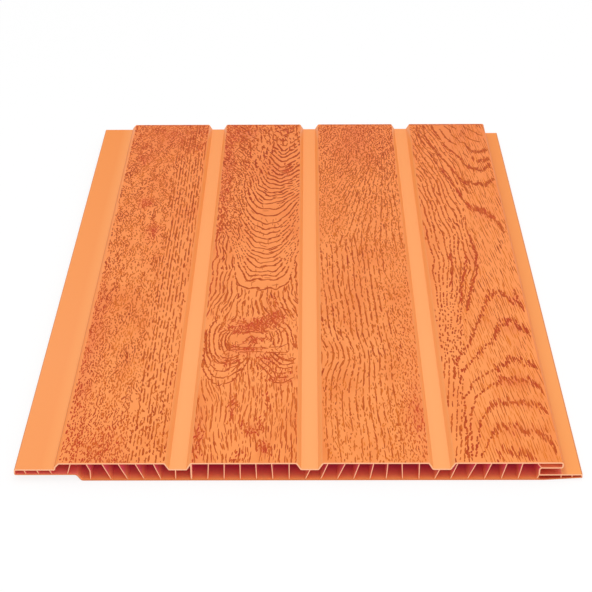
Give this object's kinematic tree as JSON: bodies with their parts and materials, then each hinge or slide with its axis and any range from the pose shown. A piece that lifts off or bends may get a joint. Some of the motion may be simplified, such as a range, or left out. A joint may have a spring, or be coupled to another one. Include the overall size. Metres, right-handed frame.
{
  "type": "pvc wall panel",
  "caption": "Hollow extruded PVC wall and ceiling panel with raised wood-grain lands, smooth grooves, a tongue edge and a slotted edge with a fixing flange.",
  "frame": {"origin": "middle of the back face's rectangle, on the plane that the back face lies on", "axes": "+X across the panel from the tongue to the fixing flange, +Y along the extrusion, +Z out of the show face"},
  "size_m": [0.2694, 0.4, 0.01],
  "materials": {
    "orange_pvc": "satin rigid PVC, wood-grain embossed and printed on the lands, plain in the grooves and on the edges"
  },
  "bodies": {
    "root": {"wall_panel": "orange_pvc"}
  },
  "joints": []
}
